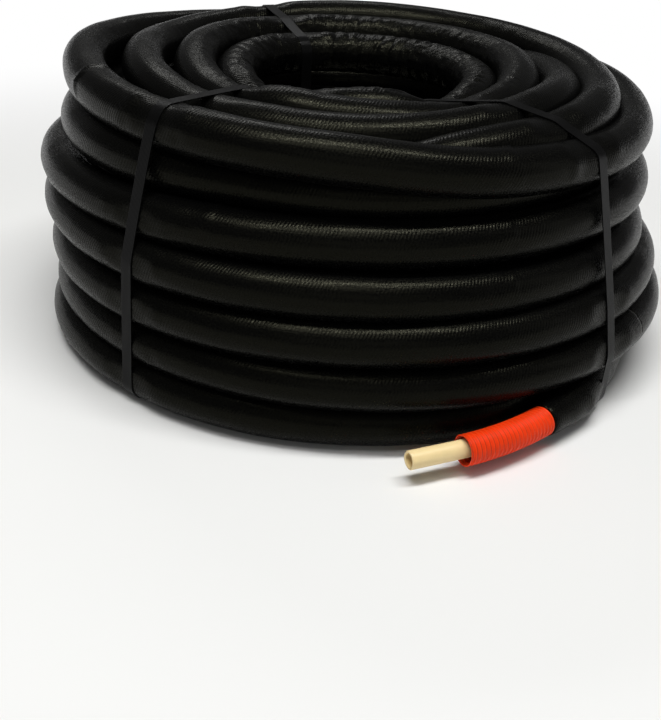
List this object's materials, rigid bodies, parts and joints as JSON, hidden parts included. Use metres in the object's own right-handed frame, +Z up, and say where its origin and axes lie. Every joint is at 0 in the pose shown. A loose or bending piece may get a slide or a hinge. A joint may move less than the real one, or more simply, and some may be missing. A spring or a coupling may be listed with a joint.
{
  "type": "coil of insulated pipe",
  "caption": "Strapped coil of foam-jacketed pipe in a corrugated conduit, lying flat, with its free end bared for a fitting.",
  "frame": {"origin": "centre of the footprint (the outline's box seen from above), on the floor", "axes": "+Z up along the coil's axis; -Y towards the side where the bared pipe end points out; +X to the right seen from that side"},
  "size_m": [0.609, 0.6518, 0.2742],
  "materials": {
    "jacket_film": "black closed-cell foam under a thin, finely wrinkled black film, half shiny",
    "conduit_plastic": "orange-red corrugated plastic, satin",
    "pipe_plastic": "smooth cream plastic, satin",
    "strap_plastic": "dark grey plastic band with a fine lengthwise ribbing"
  },
  "bodies": {
    "root": {"jacket": "jacket_film", "conduit": "conduit_plastic", "inner_pipe": "pipe_plastic", "strap_left": "strap_plastic", "strap_right": "strap_plastic", "strap_back": "strap_plastic"}
  },
  "joints": []
}
